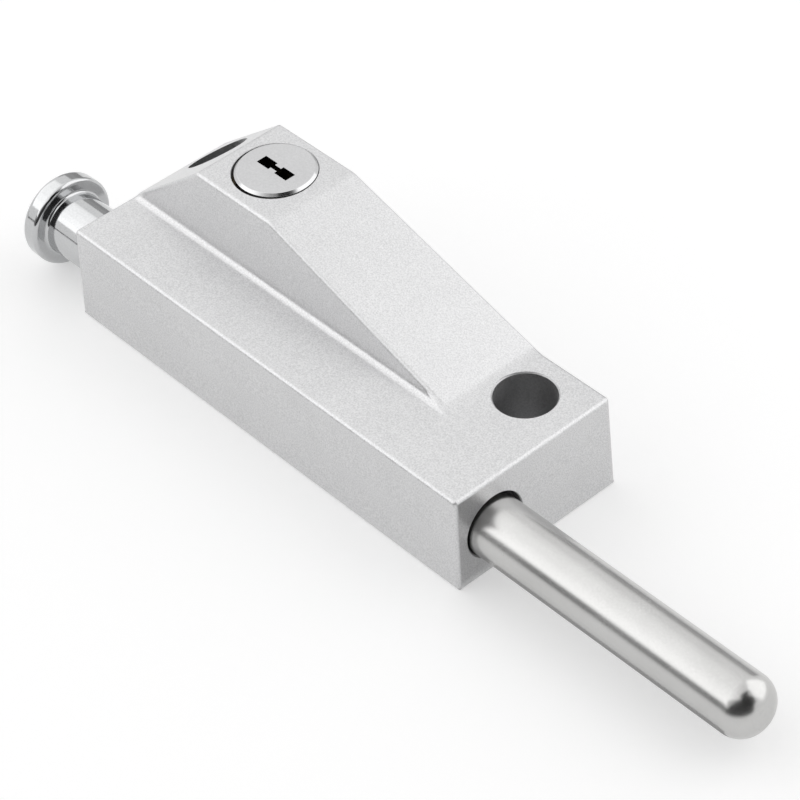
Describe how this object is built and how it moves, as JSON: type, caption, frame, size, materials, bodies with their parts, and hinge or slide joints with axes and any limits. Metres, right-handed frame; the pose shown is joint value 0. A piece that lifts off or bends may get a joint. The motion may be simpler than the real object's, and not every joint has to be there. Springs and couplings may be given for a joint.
{
  "type": "door bolt",
  "caption": "Surface-mounted door bolt: a round steel bolt with a pull knob slides through a cast casing and is locked by a key-turned plug and a sliding dog.",
  "frame": {"origin": "centre of the casing's mounting face, on the underside of the base plate", "axes": "+X along the bolt from the casing to its nose, +Z away from the door, -Y towards the side that the bolt runs on"},
  "size_m": [0.1889, 0.039, 0.0358],
  "materials": {
    "cast_silver": "satin silver coating with a fine grain",
    "bright_chrome": "polished chrome plate",
    "polished_steel": "ground and polished bolt",
    "zinc_steel": "zinc-plated steel",
    "lock_brass": "machined brass",
    "spring_steel": "spring steel",
    "bush_plastic": "black acetal"
  },
  "bodies": {
    "casing": {"body_casting": "cast_silver", "base_plate": "zinc_steel", "base_plate_screws": "zinc_steel", "guide_pin": "zinc_steel", "friction_spring": "spring_steel", "friction_spring_rivet": "zinc_steel", "front_bush": "bush_plastic", "rear_bush": "bush_plastic", "lock_shell": "lock_brass", "lock_clamp_screws": "zinc_steel"},
    "bolt": {"bolt_rod": "polished_steel", "pull_knob": "bright_chrome", "knob_stud": "zinc_steel"},
    "plug": {"lock_plug": "lock_brass", "lock_face_cap": "bright_chrome", "plug_clip": "spring_steel", "drive_cam": "zinc_steel", "wafer_springs_odd": "spring_steel", "wafer_springs_even": "spring_steel"},
    "dog": {"locking_dog": "zinc_steel"},
    "odd_wafers": {"wafers_odd": "lock_brass"},
    "even_wafers": {"wafers_even": "lock_brass"}
  },
  "joints": [
    {"name": "bolt_slide", "type": "slide", "parent": "casing", "child": "bolt", "axis": [-1, 0, 0], "range_m": [0, 0.062]},
    {"name": "plug_turn", "type": "hinge", "parent": "casing", "child": "plug", "pos_m": [-0.024, 0.0086, 0.0352], "axis": [0, 0, 1], "range_deg": [0, 90]},
    {"name": "dog_slide", "type": "slide", "parent": "casing", "child": "dog", "axis": [0, -1, 0], "range_m": [0, 0.00354]},
    {"name": "odd_wafers_slide", "type": "slide", "parent": "plug", "child": "odd_wafers", "axis": [1, 0, 0], "range_m": [-0.0005, 0.0005], "deforming": ["wafer_springs_odd"]},
    {"name": "even_wafers_slide", "type": "slide", "parent": "plug", "child": "even_wafers", "axis": [1, 0, 0], "range_m": [-0.0005, 0.0005], "deforming": ["wafer_springs_even"]}
  ],
  "couplings": [
    {"joint": "dog_slide", "follows": "plug_turn", "m_per_rad": 0.0022508},
    {"joint": "even_wafers_slide", "follows": "odd_wafers_slide", "ratio": -1}
  ]
}
